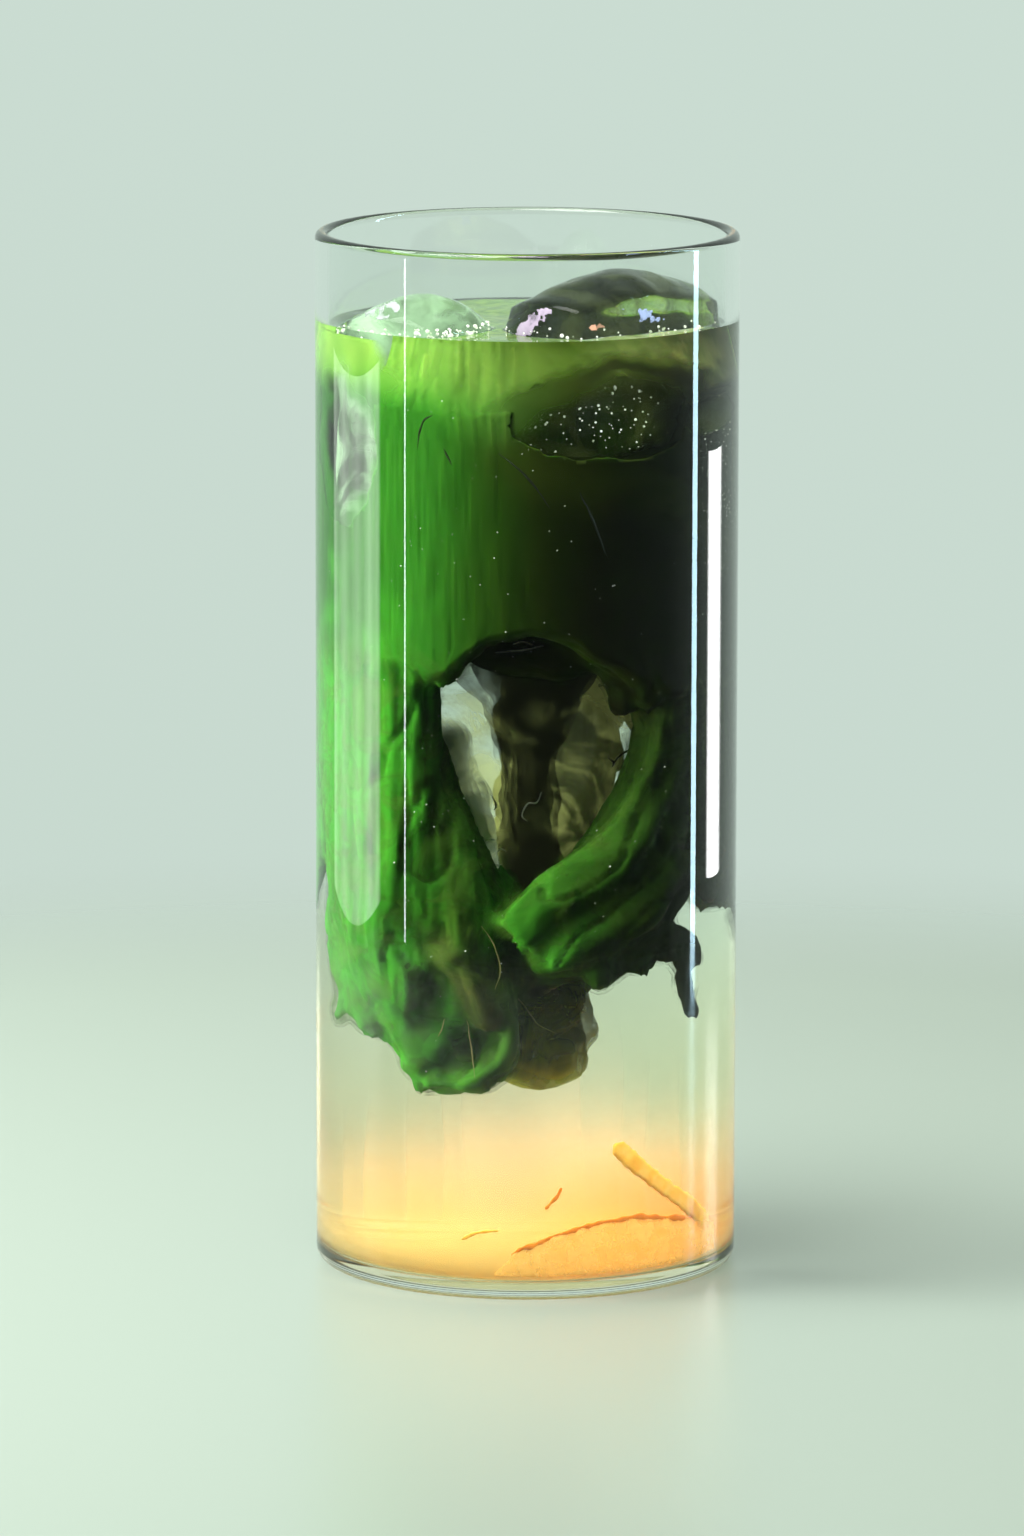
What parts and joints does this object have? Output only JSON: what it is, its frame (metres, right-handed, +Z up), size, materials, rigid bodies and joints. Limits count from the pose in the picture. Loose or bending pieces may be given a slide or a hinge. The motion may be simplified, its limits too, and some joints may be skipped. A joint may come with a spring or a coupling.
{
  "type": "iced matcha tonic in a straight glass",
  "caption": "Straight clear tumbler of iced tonic over a citrus layer, with a green matcha cloud sinking from the top between melting ice.",
  "frame": {"origin": "middle of the glass's foot, on the surface that it stands on", "axes": "+Z up along the glass's axis, -Y towards the viewer, +X to the viewer's right"},
  "size_m": [0.062, 0.062, 0.153],
  "materials": {
    "clear_glass": "clear polished soda-lime glass, faint green at the rim",
    "citrus_syrup": "cloudy yellow-orange citrus syrup",
    "tonic": "slightly milky pale tonic, warmer towards the bottom",
    "matcha": "dense matcha sinking in folded silky veils",
    "ice": "clear melting ice with small bubbles",
    "citrus_peel": "soft strips of citrus peel and pulp"
  },
  "bodies": {
    "root": {"glass": "clear_glass", "syrup": "citrus_syrup", "tonic": "tonic", "matcha": "matcha", "ice_right": "ice", "ice_left": "ice"}
  },
  "joints": []
}
